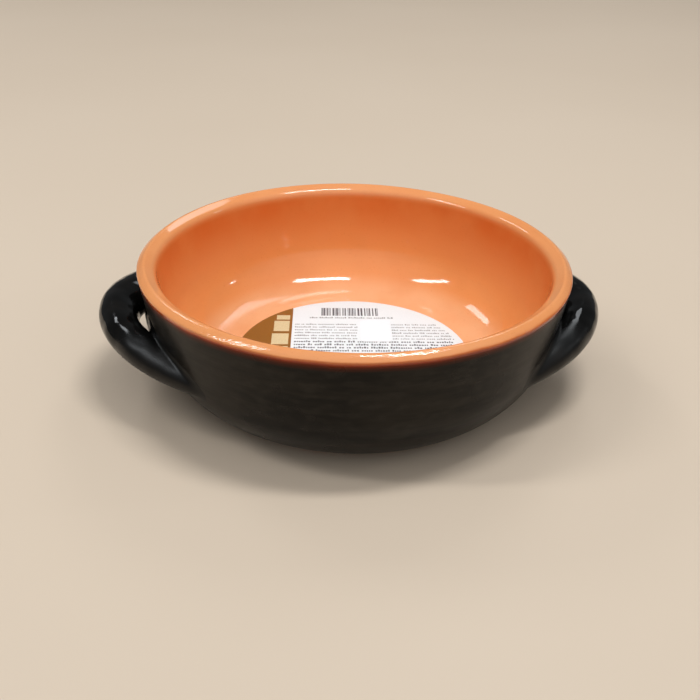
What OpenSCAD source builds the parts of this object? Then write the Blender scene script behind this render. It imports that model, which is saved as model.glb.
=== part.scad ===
/* [Bowl] */
// Outside diameter across the rim
rim_d = 200; // [180:1:260]
// Height from the foot to the crown of the lip
dish_h = 64; // [58:1:90]
// Thickness of the wall at its lip
wall_t = 8.6; // [7.4:0.2:11]
// Lean of the upper wall from upright, in degrees
wall_lean = 9.5; // [5:0.5:12]
// Radius of the lip's outer edge
lip_out_r = 2.4; // [1.6:0.2:3]
// Radius of the lip's inner edge
lip_in_r = 4.2; // [3:0.2:5]
// Fall of the lip from its crown to the top of its inner edge
lip_fall = 1; // [0:0.2:2]
// Height above the foot where the straight wall turns into the belly
belly_h = 31.5; // [29:0.5:35]
// Radius of the heel curve between the belly and the foot
heel_r = 27; // [18:1:32]
// Slope of the outside where the belly turns into the heel, from upright, in degrees
heel_turn = 53.5; // [46:0.5:60]
// Thickness of the floor, glaze included
floor_t = 9.4; // [7:0.2:12]
// Radius of the inside curve between the floor and the wall
corner_r = 28; // [22:1:34]

/* [Glaze] */
// Thickness of the fired glaze
glaze_t = 0.4; // [0.3:0.05:0.6]
// Depth of the honey-coloured band on the outside, below the lip's crown
rim_band = 3.8; // [3.6:0.2:8]
// Height of the bare clay band that the black glaze leaves above the foot
bare_h = 1.6; // [1:0.2:4]

/* [Handles] */
// Finger gap between the left handle and the wall
left_gap = 8.2; // [6:0.2:12]
// Finger gap between the right handle and the wall
right_gap = 6.2; // [6:0.2:12]
// Depth of the middle of each handle below the lip's crown
handle_drop = 26.8; // [24:0.2:32]
// Slope of each handle's loop, rising outwards, in degrees
handle_tilt = 11.5; // [0:0.5:25]
// Depth of each handle's half-oval bow, along the middle of its coil
bow_depth = 76; // [64:1:84]
// Half the length of the bow between its ends
bow_half = 59.5; // [54:0.5:64]
// Diameter of the clay coil at the middle of a handle
coil_d = 15.8; // [14:0.2:20]
// Width of the coil at its ends, where it is spread along the wall
coil_end_w = 22; // [18:0.5:28]
// Thickness of the coil at its ends
coil_end_t = 10.6; // [9:0.2:15]

/* [Label] */
// Bare margin of floor around the round paper label
label_margin = 1.2; // [0.8:0.2:8]
// Thickness of the label
label_t = 0.2; // [0.15:0.05:0.3]
// Turn of the label and its sticker from the line between the handles, in degrees
label_turn = -3; // [-180:1:180]
// Width of the blank price sticker
sticker_w = 16; // [10:0.5:20]
// Length of the blank price sticker
sticker_l = 24; // [15:0.5:30]
// Thickness of the sticker
sticker_t = 0.2; // [0.15:0.05:0.3]
// Offset of the sticker's middle from the label's, across the label
sticker_x = 12.5; // [-15:0.5:15]
// Offset of the sticker's middle from the label's, along the label
sticker_y = 23.6; // [-26:0.2:26]

/* [Hidden] */

$fn = 96;
// Points along each curve of the bowl's section
curve_steps = 14;
// Rings along a handle, and sides round its coil
coil_rings = 30;
coil_sides = 24;

clay_color = "#c4723f";
honey_color = "#d9814a";
black_color = "#1d1a18";
paper_color = "#f3f1ec";
sticker_color = "#ffffff";

function ray(a) = [cos(a), sin(a)];
function arc(centre, r, a0, a1) =
    [for (i = [0:curve_steps]) centre + r * ray(a0 + (a1 - a0) * i / curve_steps)];
function without_first(list) = [for (i = [1:len(list) - 1]) list[i]];
function reversed(list) = [for (i = [len(list) - 1:-1:0]) list[i]];

// Lip: its round outer edge, and a rounder inner edge that starts a little lower
rim_r = rim_d / 2;
lip_out_c = [rim_r - lip_out_r, dish_h - lip_out_r];
lip_in_c = [rim_r - wall_t + lip_in_r, dish_h - lip_fall - lip_in_r];
wall_normal = ray(-wall_lean);
wall_top = lip_out_c + lip_out_r * wall_normal;
inside_top = lip_in_c - lip_in_r * wall_normal;
// Angle where the line that touches both edges leaves the outer one
lip_run = lip_out_c - lip_in_c;
lip_top_a = 90 + atan2(lip_run.y, lip_run.x) + asin((lip_out_r - lip_in_r) / norm(lip_run));

// Outside of the wall at a height on its straight stretch
function wall_x(z) = wall_top.x - (wall_top.y - z) * tan(wall_lean);
// The same, at a depth under the finished surface
function wall_point(z, depth) = [wall_x(z) - depth / cos(wall_lean), z];

// Belly tangent to the wall, and heel tangent to the belly and to the foot
belly_r = (belly_h - heel_r * (1 - sin(heel_turn))) / (sin(heel_turn) - sin(wall_lean));
belly_c = wall_point(belly_h, 0) - belly_r * wall_normal;
heel_c = [belly_c.x + (belly_r - heel_r) * cos(heel_turn), heel_r];
foot_r = heel_c.x;

// Inside curve tangent to the floor and to the inside of the wall
corner_y = floor_t + corner_r;
corner_x = inside_top.x
    + ((corner_y - inside_top.y) * sin(wall_lean) - corner_r) / cos(wall_lean);
corner_c = [corner_x, corner_y];

// Outlines of the section, at a depth under the finished surface
function outside_path(depth, start_a) = concat(
    arc(heel_c, heel_r - depth, -start_a, -heel_turn),
    without_first(arc(belly_c, belly_r - depth, -heel_turn, -wall_lean)));
function lip_path(depth) = concat(
    arc(lip_out_c, lip_out_r - depth, -wall_lean, lip_top_a),
    arc(lip_in_c, lip_in_r - depth, lip_top_a, 180 - wall_lean));
function inside_path(depth) = concat(
    arc(corner_c, corner_r + depth, -wall_lean, -90),
    [[0, floor_t - depth]]);
foot_path = [[0, 0], [foot_r, 0]];

// Where the two glazes meet on the outside, and where the black one stops
band_z = dish_h - rim_band;
glaze_stop_a = asin((heel_r - bare_h) / heel_r);

// Handles: the middle of the coil, and its size along the bow
coil_z = dish_h - handle_drop;
coil_r = coil_d / 2;
rise = [cos(handle_tilt), 0, sin(handle_tilt)];
loop_normal = [-sin(handle_tilt), 0, cos(handle_tilt)];
function reach(gap) = wall_x(coil_z) + gap + coil_r;
function bow_point(gap, a) = [reach(gap), 0, coil_z]
    + bow_depth * (cos(a) - 1) * rise + bow_half * sin(a) * [0, 1, 0];
function unit(v) = v / norm(v);
function bow_normal(a) = unit(cos(a) / bow_depth * rise + sin(a) / bow_half * [0, 1, 0]);
function taper(a, end_d) = end_d / 2 + (coil_r - end_d / 2) * cos(a);

// Label: as wide as the flat floor allows, less its margin
label_r = corner_c.x - label_margin;

// Solid of the bowl with no inside, as the clay stands under its glaze
module filled_clay() {
    rotate_extrude()
        polygon(concat(
            foot_path,
            outside_path(glaze_t, 90),
            [wall_point(band_z, glaze_t), [0, band_z]]));
}

// Half oval of clay coil on the +X side, spread towards both ends
module coil(gap) {
    angles = [for (i = [0:coil_rings]) -90 + 180 * i / coil_rings];
    points = [
        for (a = angles)
            for (j = [0:coil_sides - 1])
                let (b = 360 * j / coil_sides)
                    bow_point(gap, a)
                        + taper(a, coil_end_w) * cos(b) * bow_normal(a)
                        + taper(a, coil_end_t) * sin(b) * loop_normal
    ];
    function at(i, j) = i * coil_sides + j % coil_sides;
    skin = [
        for (i = [0:coil_rings - 1])
            for (j = [0:coil_sides - 1])
                each [
                    [at(i, j), at(i, j + 1), at(i + 1, j + 1)],
                    [at(i, j), at(i + 1, j + 1), at(i + 1, j)]
                ]
    ];
    first_cap = [for (j = [coil_sides - 1:-1:0]) at(0, j)];
    last_cap = [for (j = [0:coil_sides - 1]) at(coil_rings, j)];
    polyhedron(points, concat(skin, [first_cap, last_cap]));
}

// Handle trimmed to sit on the clay of the wall
module handle(gap) {
    difference() {
        coil(gap);
        filled_clay();
    }
}

module dish_body() {
    color(clay_color)
        rotate_extrude()
            polygon(concat(
                foot_path,
                outside_path(glaze_t, 90),
                lip_path(glaze_t),
                inside_path(glaze_t)));
}

module inner_glaze() {
    color(honey_color)
        rotate_extrude()
            polygon(concat(
                [wall_point(band_z, 0)],
                lip_path(0),
                inside_path(0),
                reversed(concat([wall_point(band_z, glaze_t)], lip_path(glaze_t), inside_path(glaze_t)))));
}

// Black coat of the outside, open where the handles join the clay
module outer_glaze() {
    color(black_color)
        difference() {
            rotate_extrude()
                polygon(concat(
                    outside_path(0, glaze_stop_a),
                    [wall_point(band_z, 0), wall_point(band_z, glaze_t)],
                    reversed(outside_path(glaze_t, glaze_stop_a))));
            coil(right_gap);
            mirror([1, 0, 0])
                coil(left_gap);
        }
}

module left_handle() {
    color(black_color)
        mirror([1, 0, 0])
            handle(left_gap);
}

module right_handle() {
    color(black_color)
        handle(right_gap);
}

module round_label() {
    color(paper_color)
        translate([0, 0, floor_t])
            cylinder(r = label_r, h = label_t);
}

module price_sticker() {
    color(sticker_color)
        rotate(label_turn)
            translate([sticker_x - sticker_w / 2, sticker_y - sticker_l / 2, floor_t + label_t])
                cube([sticker_w, sticker_l, sticker_t]);
}

dish_body();
inner_glaze();
outer_glaze();
left_handle();
right_handle();
round_label();
price_sticker();
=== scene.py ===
"""Looks of a round terracotta casserole dish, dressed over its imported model.

Lengths are in metres and angles in radians. The section of the bowl repeats the model's own curves, apart
from the worn bevel of the lip, which is added here.
"""

import math
import random

import bmesh
import bpy
from mathutils import Matrix, Vector


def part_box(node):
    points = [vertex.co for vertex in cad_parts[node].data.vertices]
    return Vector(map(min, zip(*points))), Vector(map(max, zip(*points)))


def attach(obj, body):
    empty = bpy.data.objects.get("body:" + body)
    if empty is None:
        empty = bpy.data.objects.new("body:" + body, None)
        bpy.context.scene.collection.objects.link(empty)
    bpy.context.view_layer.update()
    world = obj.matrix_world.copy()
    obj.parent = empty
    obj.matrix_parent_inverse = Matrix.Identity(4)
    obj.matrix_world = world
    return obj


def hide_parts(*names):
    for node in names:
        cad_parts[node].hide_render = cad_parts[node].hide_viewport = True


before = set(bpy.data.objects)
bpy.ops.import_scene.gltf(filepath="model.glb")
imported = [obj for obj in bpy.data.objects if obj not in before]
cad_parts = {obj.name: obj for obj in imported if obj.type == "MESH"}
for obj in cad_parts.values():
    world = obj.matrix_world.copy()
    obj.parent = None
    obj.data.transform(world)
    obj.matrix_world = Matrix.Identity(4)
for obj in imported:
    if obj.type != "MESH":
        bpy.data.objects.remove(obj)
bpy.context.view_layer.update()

MM = 0.001
BODY = "root"

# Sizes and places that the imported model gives
RIM_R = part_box("inner_glaze")[1].x
DISH_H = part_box("inner_glaze")[1].z
BAND_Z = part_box("outer_glaze")[1].z
BARE_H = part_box("outer_glaze")[0].z
FLOOR_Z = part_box("round_label")[0].z
LABEL_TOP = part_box("round_label")[1].z
LABEL_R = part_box("round_label")[1].x
LEFT_TIP = -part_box("left_handle")[0].x
RIGHT_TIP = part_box("right_handle")[1].x

# Section of the bowl
WALL_T = 8.6 * MM
WALL_LEAN = math.radians(9.5)
LIP_EDGE_R = 1.0 * MM
LIP_BEVEL_R = 10 * MM
LIP_CROWN_R = 1.7 * MM
BEVEL_LOW = math.radians(46)
BEVEL_HIGH = math.radians(62)
LIP_IN_R = 4.2 * MM
LIP_FALL = 1 * MM
BELLY_H = 31.5 * MM
HEEL_R = 27 * MM
HEEL_TURN = math.radians(53.5)
CORNER_R = 28 * MM
GLAZE_T = 0.4 * MM

# Handles
COIL_DROP = 26.8 * MM
COIL_TILT = math.radians(11.5)
BOW_DEPTH = 76 * MM
BOW_HALF = 59.5 * MM
COIL_R = 7.9 * MM
COIL_END_W = 22 * MM
COIL_END_T = 10.6 * MM
FILLET = 5 * MM
FRONT_WEB = 1 * MM
BACK_WEB = 8 * MM
FILLET_SINK = 0.35 * MM
ROOT_SINK = 2.5 * MM
SMEAR_T = 2.5 * MM
SMEAR_Z = 36 * MM
SMEAR_TALL = 27 * MM
SMEAR_TURN = math.radians(24)
WEB_START = -0.5
WEB_RUN = 1.0
COIL_WAVE = 0.012
COIL_RIPPLE = 0.008

# Label and sticker
LABEL_TURN = math.radians(-3)
STICKER_W = 16 * MM
STICKER_L = 24 * MM
STICKER_AT = Vector((12.5, 23.6)) * MM
STICKER_T = 0.15 * MM
STICKER_CORNER = 2.0 * MM
CURL_H = 0.5 * MM
CURL_START = 0.55
CURL_SPREAD = 0.2

# Printing, measured from the label's middle
INK_T = 0.03 * MM
PRINT_SEED = 7
BARS_LEFT, BARS_RIGHT = -15.8 * MM, 15.3 * MM
BARS_LOW, BARS_HIGH = 40.5 * MM, 49.5 * MM
BAR_UNIT = 0.33 * MM
BAR_WIDTHS = (1, 1, 2, 3)
CAPTION_LEFT, CAPTION_RIGHT = -22 * MM, 25 * MM
CAPTION_Y = 37.4 * MM
CAPTION_TALL = 1.5 * MM
ROW_LEFT = -29.5 * MM
ROW_PITCH = 3.1 * MM
ROW_TALL = 1.3 * MM
BOLD_TALL = 1.8 * MM
GAP_LEFT, GAP_RIGHT = 4 * MM, 21 * MM
UPPER_ROWS, UPPER_Y = 6, 29.9 * MM
BOLD_ROWS, BOLD_Y = 4, 10.9 * MM
LOWER_ROWS, LOWER_Y = 15, -1.2 * MM
UPPER_MARGIN = 3 * MM
BOLD_MARGIN = 4 * MM
LOWER_MARGIN = 3.5 * MM
PANEL_EDGE_X = -31.1 * MM
PANEL_GAP = 1.4 * MM
# Width, low end and high end of each plain block on the panel, in millimetres
PANEL_BLOCKS = ((7, 35.5, 40.5), (8, 22.5, 34), (8.6, 8.5, 20), (7.5, -5, 6.5), (8.6, -19, -7))
# Marks of small print, as shares of their height, and how many make a word
MARK_WIDTHS = (0.35, 0.6)
MARK_HEIGHTS = (0.65, 0.65, 0.7, 1.0)
MARK_GAP = 0.22
WORD_GAP = 0.8
WORD_MARKS = (2, 9)

# Camera: it stands where the photograph was taken, in the dish's own frame
PHOTO_PX = 700
FOCAL_PX = 900
SENSOR_W = 36.0
CAMERA_AT = Vector((-33.78, -388.30, 230.63)) * MM
CAMERA_DOWN = math.radians(29.369)
CAMERA_TURN = math.radians(4.776)
CAMERA_ROLL = math.radians(1.222)

# Light: a soft sky, brightest towards one direction, and lamps at one height
SKY_TOWARD = Vector((0.1, -0.6, 0.8)).normalized()
SKY_FROM, SKY_TO = 0.3, 1.0
SKY_LOW, SKY_HIGH = 0.12, 0.8
LIGHT_COLOUR = (0.93, 0.97, 1.0)
LAMP_H = 1.2

FLOOR_HALF = 4.0

# Fineness of the meshes
TURN_STEPS = 240
ARC_STEPS = 22
LIP_STEPS = 10
LINE_STEPS = 14
COIL_SIDES = 40
COIL_ROWS = 36
FILLET_ROWS = 9
LABEL_EDGE_STEPS = 6
PANEL_STEPS = 48
STICKER_GRID = (20, 30)
SMEAR_GRID = (40, 24)
ANGLE_STEP = 0.001
HALVINGS = 40
MERGE = 0.001 * MM
SHARP = math.radians(50)

# Unevenness of a hand-thrown pot: waves round the pot, size and phase
OUT_OF_ROUND = ((2, 0.28 * MM, 0.6), (3, 0.16 * MM, 2.1), (5, 0.08 * MM, 4.0))
LIP_WAVES = ((2, 0.18 * MM, 1.9), (3, 0.12 * MM, 0.4), (7, 0.05 * MM, 2.7))
# The same for the lower end of the black glaze, as an angle on the heel
GLAZE_END_WAVES = ((5, 0.010, 0.3), (9, 0.012, 1.7), (17, 0.008, 3.1))


def ray(angle):
    return Vector((math.cos(angle), math.sin(angle)))


def arc(centre, radius, start, end, steps=ARC_STEPS):
    return [centre + radius * ray(start + (end - start) * i / steps) for i in range(steps + 1)]


def line(start, end, steps=LINE_STEPS):
    return [start.lerp(end, i / steps) for i in range(steps + 1)]


# Derived points of the section, as radius and height
BEVEL_RUN = (LIP_BEVEL_R - LIP_CROWN_R) * ray(BEVEL_HIGH) - (LIP_BEVEL_R - LIP_EDGE_R) * ray(BEVEL_LOW)
LIP_OUT_C = Vector((RIM_R - LIP_EDGE_R, DISH_H - LIP_CROWN_R - BEVEL_RUN.y))
LIP_BEVEL_C = LIP_OUT_C - (LIP_BEVEL_R - LIP_EDGE_R) * ray(BEVEL_LOW)
LIP_CROWN_C = LIP_OUT_C + BEVEL_RUN
LIP_IN_C = Vector((RIM_R - WALL_T + LIP_IN_R, DISH_H - LIP_FALL - LIP_IN_R))
LIP_RUN = LIP_CROWN_C - LIP_IN_C
LIP_TOP_A = (math.pi / 2 + math.atan2(LIP_RUN.y, LIP_RUN.x)
             + math.asin((LIP_CROWN_R - LIP_IN_R) / LIP_RUN.length))
WALL_NORMAL = ray(-WALL_LEAN)
WALL_TOP = LIP_OUT_C + LIP_EDGE_R * WALL_NORMAL
INSIDE_TOP = LIP_IN_C - LIP_IN_R * WALL_NORMAL


def wall_x(z):
    return WALL_TOP.x - (WALL_TOP.y - z) * math.tan(WALL_LEAN)


def wall_point(z, depth):
    return Vector((wall_x(z) - depth / math.cos(WALL_LEAN), z))


BELLY_R = (BELLY_H - HEEL_R * (1 - math.sin(HEEL_TURN))) / (math.sin(HEEL_TURN) - math.sin(WALL_LEAN))
BELLY_C = wall_point(BELLY_H, 0) - BELLY_R * WALL_NORMAL
HEEL_C = Vector((BELLY_C.x + (BELLY_R - HEEL_R) * math.cos(HEEL_TURN), HEEL_R))
HEEL_TOP = HEEL_C.y - HEEL_R * math.sin(HEEL_TURN)
FOOT_R = HEEL_C.x
CORNER_Y = FLOOR_Z + CORNER_R
CORNER_C = Vector((
    INSIDE_TOP.x + ((CORNER_Y - INSIDE_TOP.y) * math.sin(WALL_LEAN) - CORNER_R) / math.cos(WALL_LEAN),
    CORNER_Y))


def outside_path(depth, start_angle, top_z):
    """Heel, belly and straight wall, from a start angle on the heel up to a height."""
    heel = arc(HEEL_C, HEEL_R - depth, -start_angle, -HEEL_TURN)
    belly = arc(BELLY_C, BELLY_R - depth, -HEEL_TURN, -WALL_LEAN)
    wall = line(belly[-1], wall_point(top_z, depth))
    return heel + belly[1:] + wall[1:]


def lip_path(depth):
    """Outer edge of the lip, the worn bevel above it, the crown and the rounder inner edge."""
    outer = arc(LIP_OUT_C, LIP_EDGE_R - depth, -WALL_LEAN, BEVEL_LOW, LIP_STEPS)
    bevel = arc(LIP_BEVEL_C, LIP_BEVEL_R - depth, BEVEL_LOW, BEVEL_HIGH, LIP_STEPS)
    crown = arc(LIP_CROWN_C, LIP_CROWN_R - depth, BEVEL_HIGH, LIP_TOP_A, LIP_STEPS)
    inner = arc(LIP_IN_C, LIP_IN_R - depth, LIP_TOP_A, math.pi - WALL_LEAN, LIP_STEPS)
    return outer + bevel[1:] + crown[1:] + inner


def inside_path(depth):
    """Inside of the wall from the lip down, the corner and the floor to the axis."""
    corner = arc(CORNER_C, CORNER_R + depth, -WALL_LEAN, -math.pi / 2)
    wall = line(lip_path(depth)[-1], corner[0])
    floor = line(corner[-1], Vector((0, FLOOR_Z - depth)))
    return wall[1:] + corner[1:] + floor[1:]


def outside_r(z):
    """Radius of the outside at a height."""
    if z >= BELLY_H:
        return wall_x(z)
    if z >= HEEL_TOP:
        return BELLY_C.x + math.sqrt(BELLY_R ** 2 - (z - BELLY_C.y) ** 2)
    return HEEL_C.x + math.sqrt(max(HEEL_R ** 2 - (z - HEEL_C.y) ** 2, 0))


def outside_normal(point):
    """Outward normal of the wall beside a point."""
    across = Vector((point.x, point.y)).normalized()
    if point.z >= BELLY_H:
        slope = WALL_NORMAL
    else:
        centre = BELLY_C if point.z >= HEEL_TOP else HEEL_C
        slope = (Vector((outside_r(point.z), point.z)) - centre).normalized()
    return Vector((across.x * slope.x, across.y * slope.x, slope.y))


def waves(turn, terms):
    return sum(size * math.cos(count * turn + phase) for count, size, phase in terms)


def hand_made(point):
    """A point with the pot's unevenness, which grows from the foot to the lip."""
    turn = math.atan2(point.y, point.x)
    lift = max(point.z, 0) / DISH_H
    swell = 1 + lift * waves(turn, OUT_OF_ROUND) / RIM_R
    rise = lift ** 3 * waves(turn, LIP_WAVES)
    return Vector((point.x * swell, point.y * swell, point.z + rise))


def finished_mesh(name, verts, faces):
    """A smooth-shaded closed mesh with its doubled points merged and its faces turned outwards."""
    mesh = bpy.data.meshes.new(name)
    mesh.from_pydata([tuple(v) for v in verts], [], faces)
    work = bmesh.new()
    work.from_mesh(mesh)
    bmesh.ops.remove_doubles(work, verts=work.verts, dist=MERGE)
    bmesh.ops.dissolve_degenerate(work, edges=work.edges, dist=MERGE)
    bmesh.ops.recalc_face_normals(work, faces=work.faces)
    work.to_mesh(mesh)
    work.free()
    mesh.shade_smooth()
    mesh.set_sharp_from_angle(angle=SHARP)
    return mesh


def add_piece(mesh, material, replaced=None):
    """Puts a mesh into the scene as a piece of the dish."""
    piece = bpy.data.objects.new(mesh.name, mesh)
    bpy.context.scene.collection.objects.link(piece)
    mesh.materials.append(material)
    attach(piece, BODY)
    if replaced:
        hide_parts(replaced)
    return piece


def revolve(name, outline_at):
    """Turns a closed outline about the upright axis. The outline may change with the angle."""
    verts, faces = [], []
    count = len(outline_at(0))
    for j in range(TURN_STEPS):
        turn = 2 * math.pi * j / TURN_STEPS
        for p in outline_at(turn):
            verts.append(hand_made(Vector((p.x * math.cos(turn), p.x * math.sin(turn), p.y))))
        here, there = j * count, (j + 1) % TURN_STEPS * count
        for i in range(count):
            k = (i + 1) % count
            faces.append((here + i, there + i, there + k, here + k))
    return finished_mesh(name, verts, faces)


# Materials

def shade(red, green, blue):
    """A colour picked as it looks on a screen, in the renderer's own linear scale."""
    def linear(value):
        part = value / 255
        return part / 12.92 if part <= 0.04045 else ((part + 0.055) / 1.055) ** 2.4
    return (linear(red), linear(green), linear(blue), 1.0)


class Paint:
    """A node material that short calls fill in."""

    def __init__(self, name):
        self.material = bpy.data.materials.new(name)
        self.material.use_nodes = True
        self.nodes = self.material.node_tree.nodes
        self.links = self.material.node_tree.links
        self.shader = self.nodes["Principled BSDF"]
        self.place = self.nodes.new("ShaderNodeTexCoord").outputs["Object"]

    def set(self, **values):
        for name, value in values.items():
            self.shader.inputs[name.replace("_", " ")].default_value = value

    def add(self, kind, inputs, **settings):
        """Adds a node. An input is a value, or another node's output to join to it."""
        node = self.nodes.new(kind)
        for name, value in settings.items():
            setattr(node, name, value)
        for key, value in inputs.items():
            if isinstance(value, bpy.types.NodeSocket):
                self.links.new(value, node.inputs[key])
            else:
                node.inputs[key].default_value = value
        return node

    def stretched(self, x, y, z):
        """The object's coordinates, scaled along each axis."""
        return self.add("ShaderNodeMapping", {"Vector": self.place, "Scale": (x, y, z)}).outputs[0]

    def noise(self, size, detail=2.0, rough=0.5, place=None):
        """Noise from 0 to 1 with features of about a size."""
        node = self.add("ShaderNodeTexNoise", {
            "Vector": place or self.place, "Scale": 1 / size, "Detail": detail, "Roughness": rough})
        return node.outputs["Fac"]

    def spread(self, value, low, high, to_low=0.0, to_high=1.0):
        """Maps a value's range smoothly to another."""
        node = self.add("ShaderNodeMapRange", {
            "Value": value, "From Min": low, "From Max": high, "To Min": to_low, "To Max": to_high},
            interpolation_type="SMOOTHSTEP")
        return node.outputs[0]

    def sum(self, a, b, factor=1.0):
        """One value plus a share of another."""
        node = self.add("ShaderNodeMath", {0: b, 1: factor, 2: a}, operation="MULTIPLY_ADD")
        return node.outputs[0]

    def mix(self, factor, a, b, how="MIX"):
        node = self.add("ShaderNodeMix", {"Factor": factor}, data_type="RGBA", blend_type=how)
        for key, value in (("A", a), ("B", b)):
            socket = next(s for s in node.inputs if s.name == key and s.type == "RGBA")
            if isinstance(value, bpy.types.NodeSocket):
                self.links.new(value, socket)
            else:
                socket.default_value = value
        return next(s for s in node.outputs if s.type == "RGBA")

    def ramp(self, value, stops):
        """Colours along a value, from pairs of place and colour."""
        node = self.add("ShaderNodeValToRGB", {"Fac": value})
        elements = node.color_ramp.elements
        while len(elements) < len(stops):
            elements.new(0.5)
        for element, (at, colour) in zip(elements, stops):
            element.position = at
            element.color = colour
        return node.outputs["Color"]

    def height(self):
        return self.add("ShaderNodeSeparateXYZ", {"Vector": self.place}).outputs["Z"]

    def rightward(self):
        return self.add("ShaderNodeSeparateXYZ", {"Vector": self.place}).outputs["X"]

    def radius(self):
        """Distance from the upright axis."""
        node = self.add("ShaderNodeVectorMath", {"Vector": self.stretched(1, 1, 0)}, operation="LENGTH")
        return node.outputs["Value"]

    def off_middle(self):
        """Distance from the upright plane through the middles of both handles."""
        node = self.add("ShaderNodeVectorMath", {"Vector": self.stretched(0, 1, 0)}, operation="LENGTH")
        return node.outputs["Value"]

    def times(self, a, b):
        return self.add("ShaderNodeMath", {0: a, 1: b}, operation="MULTIPLY").outputs[0]

    def bump(self, value, depth, before=None):
        """A bump of a depth in metres, over an earlier one if there is one."""
        inputs = {"Height": value, "Strength": 1.0, "Distance": depth}
        if before:
            inputs["Normal"] = before
        return self.add("ShaderNodeBump", inputs).outputs["Normal"]

    def finish(self, colour, roughness=None, normal=None):
        self.links.new(colour, self.shader.inputs["Base Color"])
        if roughness:
            self.links.new(roughness, self.shader.inputs["Roughness"])
        if normal:
            self.links.new(normal, self.shader.inputs["Normal"])
        return self.material


HONEY = shade(241, 153, 88)
# Painted light and reflection: the lip's top made paler than the wall below it
HONEY_LIP_LIT = shade(238, 157, 98)
# Painted light: the inside made paler towards the floor, where light falls strongest
HONEY_PAINTED_LIGHT = shade(247, 182, 132)
# Painted shade: the inside wall made deeper and darker up towards the lip
HONEY_PAINTED_SHADE = shade(219, 105, 43)
HONEY_CLOUD = shade(232, 141, 78)
AMBER = shade(205, 105, 48)
RUSSET = shade(150, 54, 16)
BROWN = shade(96, 34, 11)
UMBER = shade(54, 21, 10)
BLACK = shade(9, 8, 7)
BLACK_WARM = shade(29, 25, 20)
BLACK_FLECK = shade(42, 38, 33)
BLACK_HANDLE = shade(20, 16, 13)

# The blurred line below the lip's crown where the two glazes run together, and its slope to the right
EDGE_TOP = DISH_H - 1.3 * MM
EDGE_END = DISH_H - 7.6 * MM
EDGE_WAVE = 1.2 * MM
EDGE_LEAN = 0.007


def honey_colour(paint):
    """Orange clay under a clear glaze, with clouds and specks. Painted light makes it paler on the floor
    and the lip, and painted shade makes it deeper up the wall.
    """
    height = paint.height()
    # Painted light: paler glaze near the floor
    painted_floor_light = paint.spread(height, FLOOR_Z + 9 * MM, FLOOR_Z)
    # Painted shade: deeper glaze up the wall
    painted_wall_shade = paint.spread(height, FLOOR_Z + 14 * MM, DISH_H - 3 * MM)
    # Painted light: the lip made paler again above the painted shade of the wall
    on_lip = paint.spread(height, DISH_H - 7 * MM, DISH_H - 2 * MM)
    colour = paint.mix(painted_floor_light, HONEY, HONEY_PAINTED_LIGHT)
    colour = paint.mix(painted_wall_shade, colour, HONEY_PAINTED_SHADE)
    colour = paint.mix(on_lip, colour, HONEY_LIP_LIT)
    clouds = paint.spread(paint.noise(28 * MM, 3.0), 0.35, 0.75, 0.0, 0.4)
    colour = paint.mix(clouds, colour, HONEY_CLOUD)
    specks = paint.spread(paint.noise(0.9 * MM, 2.0), 0.62, 0.75, 0.0, 0.22)
    return paint.mix(specks, colour, AMBER)


def glaze_edge(paint):
    """Share of black where the glazes meet: 0 on the lip, and 1 below the blurred line."""
    wavy_z = paint.sum(paint.height(), paint.noise(16 * MM, 3.0), EDGE_WAVE)
    leaning_z = paint.sum(wavy_z, paint.rightward(), -EDGE_LEAN)
    return paint.spread(leaning_z, EDGE_TOP + EDGE_WAVE / 2, EDGE_END + EDGE_WAVE / 2)


def run_together(paint, edge, honey, black):
    """Honey that turns amber, brown and black down the outside."""
    thin = paint.ramp(edge, ((0.1, AMBER), (0.25, RUSSET), (0.46, BROWN), (0.76, UMBER)))
    colour = paint.mix(paint.spread(edge, 0.0, 0.1), honey, thin)
    return paint.mix(paint.spread(edge, 0.8, 1.0), colour, black)


def glaze_bump(paint):
    """Faint turning rings under a smooth skin."""
    rings = paint.noise(7 * MM, 2.0, place=paint.stretched(0.12, 0.12, 3.0))
    skin = paint.noise(3 * MM, 2.0)
    return paint.bump(skin, 0.02 * MM, paint.bump(rings, 0.05 * MM))


def honey_glaze():
    """Clear glaze, smooth on the wall, duller on the floor and pitted along the lip."""
    paint = Paint("honey_glaze")
    paint.set(IOR=1.52, Specular_IOR_Level=0.5)
    outside = paint.spread(paint.radius(), RIM_R - 5 * MM, RIM_R - 3 * MM)
    edge = paint.times(glaze_edge(paint), outside)
    colour = run_together(paint, edge, honey_colour(paint), BLACK)
    roughness = paint.spread(paint.noise(14 * MM, 3.0), 0.3, 0.7, 0.05, 0.09)
    by_floor = paint.spread(paint.height(), FLOOR_Z + 5 * MM, FLOOR_Z + 1 * MM)
    roughness = paint.sum(roughness, by_floor, 0.1)
    on_lip = paint.times(outside, paint.spread(paint.height(), DISH_H - 4 * MM, DISH_H - 2 * MM))
    roughness = paint.sum(roughness, on_lip, 0.05)
    pits = paint.times(paint.noise(1.1 * MM, 1.0, place=paint.stretched(0.35, 1, 1)), on_lip)
    return paint.finish(colour, roughness, paint.bump(pits, 0.11 * MM, glaze_bump(paint)))


def black_glaze():
    """Black glaze of the wall. Just under the lip it thins, so that the honey glaze shows through."""
    paint = Paint("black_glaze")
    paint.set(IOR=1.52, Specular_IOR_Level=0.15, Specular_Tint=(1.0, 0.95, 0.87, 1.0))
    streaks = paint.noise(9 * MM, 4.0, 0.6, paint.stretched(0.25, 0.25, 2.2))
    patches = paint.noise(40 * MM, 3.0)
    flecks = paint.noise(3.4 * MM, 1.0, 0.5, paint.stretched(0.5, 0.5, 1.0))
    black = paint.mix(paint.spread(paint.sum(streaks, patches), 0.85, 1.25), BLACK, BLACK_WARM)
    black = paint.mix(paint.spread(flecks, 0.4, 0.8, 0.0, 0.5), black, BLACK_FLECK)
    colour = run_together(paint, glaze_edge(paint), honey_colour(paint), black)
    roughness = paint.spread(patches, 0.3, 0.75, 0.24, 0.36)
    return paint.finish(colour, roughness, glaze_bump(paint))


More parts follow.
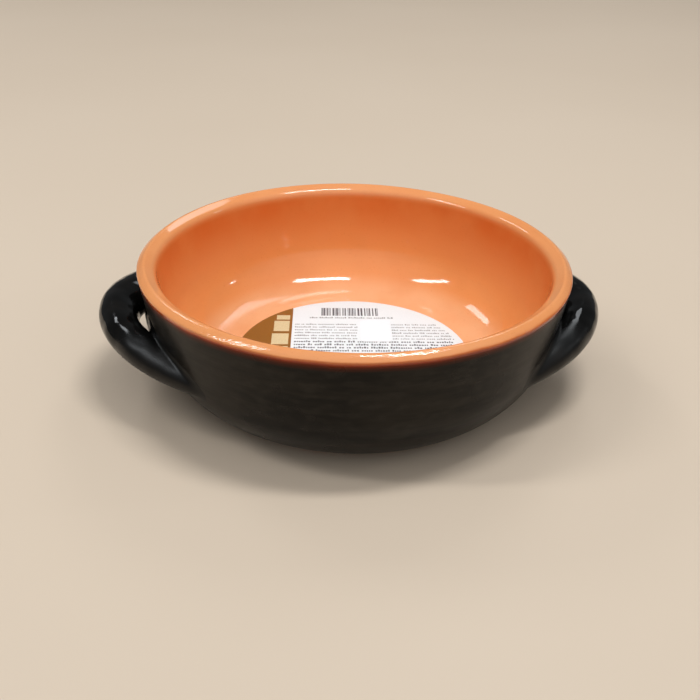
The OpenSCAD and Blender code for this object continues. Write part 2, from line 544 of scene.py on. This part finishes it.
def handle_glaze():
    """The same black glaze where it lies thick and lumpy and shines more, but dull towards the roots."""
    paint = Paint("handle_glaze")
    paint.set(IOR=1.52, Specular_IOR_Level=0.24)
    patches = paint.noise(18 * MM, 3.0)
    colour = paint.mix(paint.spread(patches, 0.4, 0.75), BLACK, BLACK_HANDLE)
    roughness = paint.spread(patches, 0.3, 0.75, 0.06, 0.11)
    by_roots = paint.spread(paint.off_middle(), 28 * MM, 42 * MM)
    roughness = paint.sum(roughness, by_roots, 0.3)
    lumps = paint.noise(10 * MM, 0.0)
    return paint.finish(colour, roughness, paint.bump(lumps, 1.0 * MM, glaze_bump(paint)))


def bare_clay():
    paint = Paint("terracotta")
    paint.set(IOR=1.45)
    clouds = paint.noise(12 * MM, 4.0)
    colour = paint.ramp(clouds, (
        (0.3, shade(168, 88, 52)), (0.55, shade(190, 106, 64)), (0.8, shade(206, 126, 84))))
    grit = paint.noise(0.6 * MM, 3.0, 0.7)
    colour = paint.mix(paint.spread(grit, 0.62, 0.74, 0.0, 0.5), colour, shade(120, 60, 36))
    roughness = paint.spread(clouds, 0.2, 0.8, 0.72, 0.9)
    return paint.finish(colour, roughness, paint.bump(grit, 0.12 * MM))


def paper(name, light, dark, rough):
    """Paper with a faint fibre grain."""
    paint = Paint(name)
    paint.set(IOR=1.45)
    fibres = paint.noise(0.8 * MM, 4.0, 0.6)
    colour = paint.mix(paint.spread(fibres, 0.3, 0.7), dark, light)
    roughness = paint.spread(fibres, 0.2, 0.8, rough - 0.06, rough + 0.06)
    return paint.finish(colour, roughness, paint.bump(fibres, 0.02 * MM))


# Pieces

def clay_body(material):
    """The fired clay under its glazes, bare on the foot."""
    def outline(turn):
        foot = line(Vector((0, 0)), Vector((FOOT_R, 0)))
        outside = outside_path(GLAZE_T, math.pi / 2, BAND_Z)
        return foot + outside + lip_path(GLAZE_T) + inside_path(GLAZE_T)
    return add_piece(revolve("clay_body", outline), material, "dish_body")


def inner_coat(material):
    """Honey glaze of the inside, the lip and a narrow band below it."""
    def side(depth):
        return [wall_point(BAND_Z, depth)] + lip_path(depth) + inside_path(depth)

    def outline(turn):
        return side(0) + side(GLAZE_T)[::-1]
    return add_piece(revolve("inner_coat", outline), material, "inner_glaze")


def outer_coat(material):
    """Black glaze of the outside, which ends in an uneven line above the foot."""
    stop_angle = math.asin((HEEL_R - BARE_H) / HEEL_R)

    def outline(turn):
        stop = stop_angle + waves(turn, GLAZE_END_WAVES)
        return outside_path(0, stop, BAND_Z) + outside_path(GLAZE_T, stop, BAND_Z)[::-1]
    return add_piece(revolve("outer_coat", outline), material, "outer_glaze")


COIL_Z = DISH_H - COIL_DROP
RISE = Vector((math.cos(COIL_TILT), 0, math.sin(COIL_TILT)))
LOOP_NORMAL = Vector((-math.sin(COIL_TILT), 0, math.cos(COIL_TILT)))
SIDEWAYS = Vector((0, 1, 0))


def bow_normal(a):
    return (math.cos(a) / BOW_DEPTH * RISE + math.sin(a) / BOW_HALF * SIDEWAYS).normalized()


def taper(a, end_size):
    """Half the coil's size at an angle along the bow, where it ends in another size."""
    return end_size / 2 + (COIL_R - end_size / 2) * math.cos(a)


def web(a):
    """Clay left on the inner side of the coil, most of it towards the back root."""
    share = min(max((a - WEB_START) / WEB_RUN, 0), 1)
    return FRONT_WEB + (BACK_WEB - FRONT_WEB) * share * share * (3 - 2 * share)


def coil_point(reach, a, b):
    """Point on the skin of a handle on the +X side, at an angle along the bow and one round the coil."""
    middle = Vector((reach, 0, COIL_Z))
    middle += BOW_DEPTH * (math.cos(a) - 1) * RISE + BOW_HALF * math.sin(a) * SIDEWAYS
    uneven = 1 + COIL_WAVE * math.sin(3 * a + 2 * b) + COIL_RIPPLE * math.cos(7 * a - b)
    wide = taper(a, COIL_END_W) + (web(a) if math.cos(b) < 0 else 0)
    across = wide * math.cos(b) * bow_normal(a)
    return middle + uneven * (across + taper(a, COIL_END_T) * math.sin(b) * LOOP_NORMAL)


def coil_normal(a, b):
    across = math.cos(b) / taper(a, COIL_END_W) * bow_normal(a)
    return (across + math.sin(b) / taper(a, COIL_END_T) * LOOP_NORMAL).normalized()


def on_wall(point):
    """The point moved level onto the outside of the wall."""
    across = math.hypot(point.x, point.y)
    share = outside_r(point.z) / across
    return Vector((point.x * share, point.y * share, point.z))


def root_angle(reach, b, end):
    """Angle along the bow where a line of the coil's skin meets the wall."""
    near, far = 0.0, math.pi / 2
    for _ in range(HALVINGS):
        middle = (near + far) / 2
        p = coil_point(reach, end * middle, b)
        if math.hypot(p.x, p.y) > outside_r(p.z):
            near = middle
        else:
            far = middle
    return near


def half_line(reach, b, end):
    """One line of a handle's skin, from the middle of the bow to its root in the wall."""
    root = root_angle(reach, b, end)
    hit = coil_point(reach, end * root, b)
    pace = (coil_point(reach, end * (root - ANGLE_STEP), b) - hit).length / ANGLE_STEP
    start = root - FILLET / pace
    normal = outside_normal(hit)
    away = coil_normal(end * root, b)
    away = (away - away.dot(normal) * normal).normalized()
    land = on_wall(hit + FILLET * away) - FILLET_SINK * normal
    points = [coil_point(reach, end * start * i / COIL_ROWS, b) for i in range(COIL_ROWS + 1)]
    for i in range(1, FILLET_ROWS + 1):
        t = i / FILLET_ROWS
        points.append(points[COIL_ROWS].lerp(hit, t).lerp(hit.lerp(land, t), t))
    return points + [land - ROOT_SINK * normal]


def handle(name, side, tip, material, replaced):
    """A bowed coil of clay whose ends are smeared onto the wall."""
    reach = tip - COIL_R
    lines = []
    for j in range(COIL_SIDES):
        b = 2 * math.pi * j / COIL_SIDES
        front = half_line(reach, b, -1)
        back = half_line(reach, b, 1)
        lines.append(front[::-1] + back[1:])
    count = len(lines[0])
    verts = [hand_made(Vector((side * p.x, p.y, p.z))) for points in lines for p in points]
    faces = []
    for j in range(COIL_SIDES):
        here, there = j * count, (j + 1) % COIL_SIDES * count
        for i in range(count - 1):
            faces.append((here + i, there + i, there + i + 1, here + i + 1))
    faces.append(tuple(j * count for j in range(COIL_SIDES)))
    faces.append(tuple(j * count + count - 1 for j in range(COIL_SIDES)))
    return add_piece(finished_mesh(name, verts, faces), material, replaced)


def label_point(x, y, z):
    """A point given in the label's own turn, at a height."""
    flat = Matrix.Rotation(LABEL_TURN, 2) @ Vector((x, y))
    return Vector((flat.x, flat.y, z))


def round_label(material):
    """The paper disc, glued flat to the floor, with a soft cut edge."""
    half = (LABEL_TOP - FLOOR_Z) / 2
    edge = Vector((LABEL_R - half, FLOOR_Z + half))

    def outline(turn):
        bottom = line(Vector((0, FLOOR_Z)), edge - Vector((0, half)))
        top = line(edge + Vector((0, half)), Vector((0, LABEL_TOP)))
        return bottom + arc(edge, half, -math.pi / 2, math.pi / 2, LABEL_EDGE_STEPS)[1:-1] + top
    return add_piece(revolve("paper_label", outline), material, "round_label")


def slab(verts, faces, corners, low, high):
    """Adds a thin upright prism to lists of points and faces."""
    first = len(verts)
    count = len(corners)
    verts += [label_point(x, y, low) for x, y in corners]
    verts += [label_point(x, y, high) for x, y in corners]
    for i in range(count):
        k = (i + 1) % count
        faces.append((first + i, first + k, first + count + k, first + count + i))
    faces.append(tuple(first + i for i in reversed(range(count))))
    faces.append(tuple(first + count + i for i in range(count)))


def ink(name, shapes, material, layer=1):
    """Printing on the label, as thin flat shapes. A second layer lies on the first."""
    verts, faces = [], []
    for corners in shapes:
        slab(verts, faces, corners, LABEL_TOP - INK_T, LABEL_TOP + layer * INK_T)
    return add_piece(finished_mesh(name, verts, faces), material)


def box_corners(x0, y0, x1, y1):
    return [(x0, y0), (x1, y0), (x1, y1), (x0, y1)]


def small_print(draw, x0, x1, y, tall):
    """A row of illegible marks the size of small print, with gaps as between words."""
    marks = []
    x = x0
    left_in_word = draw.randint(*WORD_MARKS)
    while x < x1 - tall:
        wide = tall * draw.uniform(*MARK_WIDTHS)
        up = tall * draw.choice(MARK_HEIGHTS)
        marks.append(box_corners(x, y, x + wide, y + up))
        left_in_word -= 1
        gap = MARK_GAP * tall
        if left_in_word == 0:
            gap = WORD_GAP * tall
            left_in_word = draw.randint(*WORD_MARKS)
        x += wide + gap
    return marks


def bar_strip(draw, x0, x1, y0, y1):
    """A strip of upright bars of several widths, which stand for no number."""
    marks = []
    x = x0
    while x < x1 - max(BAR_WIDTHS) * BAR_UNIT:
        wide = BAR_UNIT * draw.choice(BAR_WIDTHS)
        marks.append(box_corners(x, y0, x + wide, y1))
        x += wide + BAR_UNIT * draw.choice(BAR_WIDTHS)
    return marks


def half_chord(x_or_y, margin):
    """Half the width of the label across a line at a distance from its middle."""
    return math.sqrt((LABEL_R - margin) ** 2 - x_or_y ** 2)


def label_print(grey, dark, brown, cream):
    """All the printing of the label: bars, rows of small print and a brown panel with plain blocks."""
    draw = random.Random(PRINT_SEED)
    ink("label_bars", bar_strip(draw, BARS_LEFT, BARS_RIGHT, BARS_LOW, BARS_HIGH), dark)

    rows = small_print(draw, CAPTION_LEFT, CAPTION_RIGHT, CAPTION_Y, CAPTION_TALL)
    for i in range(UPPER_ROWS):
        y = UPPER_Y - i * ROW_PITCH
        rows += small_print(draw, ROW_LEFT, GAP_LEFT, y, ROW_TALL)
        rows += small_print(draw, GAP_RIGHT, half_chord(y, UPPER_MARGIN), y, ROW_TALL)
    for i in range(LOWER_ROWS):
        y = LOWER_Y - i * ROW_PITCH
        rows += small_print(draw, ROW_LEFT, half_chord(y - ROW_TALL, LOWER_MARGIN), y, ROW_TALL)
    ink("label_small_print", rows, grey)

    bold = []
    for i in range(BOLD_ROWS):
        y = BOLD_Y - i * ROW_PITCH
        bold += small_print(draw, ROW_LEFT, half_chord(y, BOLD_MARGIN), y, BOLD_TALL)
    ink("label_bold_print", bold, dark)

    reach = half_chord(PANEL_EDGE_X, 0)
    turn = math.atan2(reach, PANEL_EDGE_X)
    swing = 2 * (math.pi - turn)
    rim = [LABEL_R * ray(turn + swing * i / PANEL_STEPS) for i in range(PANEL_STEPS + 1)]
    ink("label_panel", [[tuple(p) for p in rim]], brown)

    right = PANEL_EDGE_X - PANEL_GAP
    blocks = []
    for wide, low, high in PANEL_BLOCKS:
        blocks.append(box_corners(right - wide * MM, low * MM, right, high * MM))
    ink("panel_marks", blocks, cream, 2)


def closed_sheet(name, columns, rows, point):
    """A thin closed sheet: a lower and an upper grid of points, joined round the border."""
    verts, faces = [], []
    for level in (0, 1):
        for j in range(rows + 1):
            verts += [point(2 * i / columns - 1, 2 * j / rows - 1, level) for i in range(columns + 1)]
    width = columns + 1
    layer = width * (rows + 1)
    for j in range(rows):
        for i in range(columns):
            a = j * width + i
            faces.append((a, a + width, a + width + 1, a + 1))
            faces.append((layer + a, layer + a + 1, layer + a + width + 1, layer + a + width))
    border = list(range(columns))
    border += [j * width + columns for j in range(rows)]
    border += [rows * width + columns - i for i in range(columns)]
    border += [(rows - j) * width for j in range(rows)]
    for i, a in enumerate(border):
        b = border[(i + 1) % len(border)]
        faces.append((a, b, layer + b, layer + a))
    return finished_mesh(name, verts, faces)


def price_sticker(material):
    """A blank sticker with round corners, one of which lifts a little."""
    half = Vector((STICKER_W / 2, STICKER_L / 2))
    core = half - Vector((STICKER_CORNER, STICKER_CORNER))

    def inset(u, v):
        """Pulls a point of the rectangle in to its rounded outline."""
        p = Vector((u * half.x, v * half.y))
        past = Vector((max(abs(p.x) - core.x, 0), max(abs(p.y) - core.y, 0)))
        if past.x and past.y:
            past *= max(past.x, past.y) / past.length
        return Vector((
            math.copysign(min(abs(p.x), core.x) + past.x, p.x),
            math.copysign(min(abs(p.y), core.y) + past.y, p.y)))

    def point(u, v, level):
        p = STICKER_AT + inset(u, v)
        curl = CURL_H * max(0, (u + v) / 2 - CURL_START) ** 2 / CURL_SPREAD
        return label_point(p.x, p.y, LABEL_TOP + INK_T + level * STICKER_T + curl)
    sheet = closed_sheet("blank_sticker", *STICKER_GRID, point)
    return add_piece(sheet, material, "price_sticker")


def smear(name, side, material):
    """Clay of a handle, pressed along the wall between its two roots."""
    def point(u, v, level):
        z = SMEAR_Z + v * SMEAR_TALL / 2
        thick = SMEAR_T * (1 - u ** 4) * (1 - v * v) ** 1.5 - FILLET_SINK
        radius = outside_r(z) + (thick if level else -ROOT_SINK)
        turn = u * SMEAR_TURN
        return hand_made(Vector((side * radius * math.cos(turn), radius * math.sin(turn), z)))
    return add_piece(closed_sheet(name, *SMEAR_GRID, point), material)


def build_dish():
    black = handle_glaze()
    clay_body(bare_clay())
    inner_coat(honey_glaze())
    outer_coat(black_glaze())
    handle("left_loop", -1, LEFT_TIP, black, "left_handle")
    handle("right_loop", 1, RIGHT_TIP, black, "right_handle")
    smear("left_smear", -1, black)
    smear("right_smear", 1, black)
    round_label(paper("label_paper", shade(240, 246, 246), shade(234, 240, 240), 0.5))
    label_print(
        paper("grey_ink", shade(150, 148, 146), shade(128, 126, 124), 0.55),
        paper("dark_ink", shade(106, 106, 110), shade(84, 84, 88), 0.55),
        paper("brown_ink", shade(150, 98, 30), shade(138, 88, 24), 0.45),
        paper("cream_ink", shade(226, 206, 160), shade(214, 194, 148), 0.5))
    price_sticker(paper("sticker_paper", shade(246, 249, 250), shade(240, 244, 245), 0.6))


def build_floor():
    """A plain pale floor, wide enough to fill the view."""
    paint = Paint("floor")
    clouds = paint.noise(0.4, 2.0)
    colour = paint.mix(clouds, shade(212, 191, 168), shade(219, 199, 177))
    paint.set(Roughness=0.65)
    mesh = bpy.data.meshes.new("floor")
    corners = box_corners(-FLOOR_HALF, -FLOOR_HALF, FLOOR_HALF, FLOOR_HALF)
    mesh.from_pydata([(x, y, 0) for x, y in corners], [], [(0, 1, 2, 3)])
    mesh.materials.append(paint.finish(colour))
    floor = bpy.data.objects.new("floor", mesh)
    bpy.context.scene.collection.objects.link(floor)


def add_panel(name, x, y, wide, deep, watts, target=None):
    """A soft rectangular lamp that faces straight down, or a point if one is given."""
    place = Vector((x, y, LAMP_H))
    if target is None:
        target = Vector((x, y, 0))
    lamp = bpy.data.lights.new(name, "AREA")
    lamp.shape = "RECTANGLE"
    lamp.size = wide
    lamp.size_y = deep
    lamp.energy = watts
    lamp.color = LIGHT_COLOUR
    panel = bpy.data.objects.new(name, lamp)
    bpy.context.scene.collection.objects.link(panel)
    panel.location = place
    panel.rotation_euler = (target - place).to_track_quat("-Z", "Y").to_euler()


def build_light():
    """A soft sky that is brightest high in front of the dish, with bright panels under it."""
    add_panel("panel_right", 0.26, -0.10, 0.46, 0.12, 6.6)
    add_panel("panel_left", -1.03, -0.15, 0.84, 0.10, 7.2)
    add_panel("panel_back_right", 0.50, 1.10, 0.44, 0.90, 4.4)
    add_panel("panel_back_left", -0.85, 1.05, 0.30, 0.66, 4.4)
    add_panel("panel_far", 2.7, 0.05, 0.16, 0.10, 2.0, Vector((0, 0, 0)))
    world = bpy.data.worlds.new("soft_sky")
    bpy.context.scene.world = world
    world.use_nodes = True
    nodes, links = world.node_tree.nodes, world.node_tree.links
    place = nodes.new("ShaderNodeTexCoord")
    toward = nodes.new("ShaderNodeVectorMath")
    toward.operation = "DOT_PRODUCT"
    toward.inputs[1].default_value = SKY_TOWARD
    level = nodes.new("ShaderNodeMapRange")
    level.interpolation_type = "SMOOTHSTEP"
    level.inputs["From Min"].default_value = SKY_FROM
    level.inputs["From Max"].default_value = SKY_TO
    level.inputs["To Min"].default_value = SKY_LOW
    level.inputs["To Max"].default_value = SKY_HIGH
    links.new(place.outputs["Generated"], toward.inputs[0])
    links.new(toward.outputs["Value"], level.inputs["Value"])
    links.new(level.outputs[0], nodes["Background"].inputs["Strength"])
    nodes["Background"].inputs["Color"].default_value = (*LIGHT_COLOUR, 1.0)


def build_camera():
    """A camera with the photograph's place, aim, tilt and lens."""
    data = bpy.data.cameras.new("camera")
    data.sensor_width = SENSOR_W
    data.lens = SENSOR_W * FOCAL_PX / PHOTO_PX
    data.clip_start = 0.01
    ahead = Vector((
        math.cos(CAMERA_DOWN) * math.sin(CAMERA_TURN),
        math.cos(CAMERA_DOWN) * math.cos(CAMERA_TURN),
        -math.sin(CAMERA_DOWN)))
    level = Vector((math.cos(CAMERA_TURN), -math.sin(CAMERA_TURN), 0))
    upright = level.cross(ahead)
    right = math.cos(CAMERA_ROLL) * level + math.sin(CAMERA_ROLL) * upright
    up = math.cos(CAMERA_ROLL) * upright - math.sin(CAMERA_ROLL) * level
    camera = bpy.data.objects.new("camera", data)
    bpy.context.scene.collection.objects.link(camera)
    turn = Matrix((right, up, -ahead)).transposed().to_4x4()
    camera.matrix_world = Matrix.Translation(CAMERA_AT) @ turn
    bpy.context.scene.camera = camera


bpy.context.scene.view_settings.view_transform = "Standard"
build_camera()
build_dish()
build_floor()
build_light()
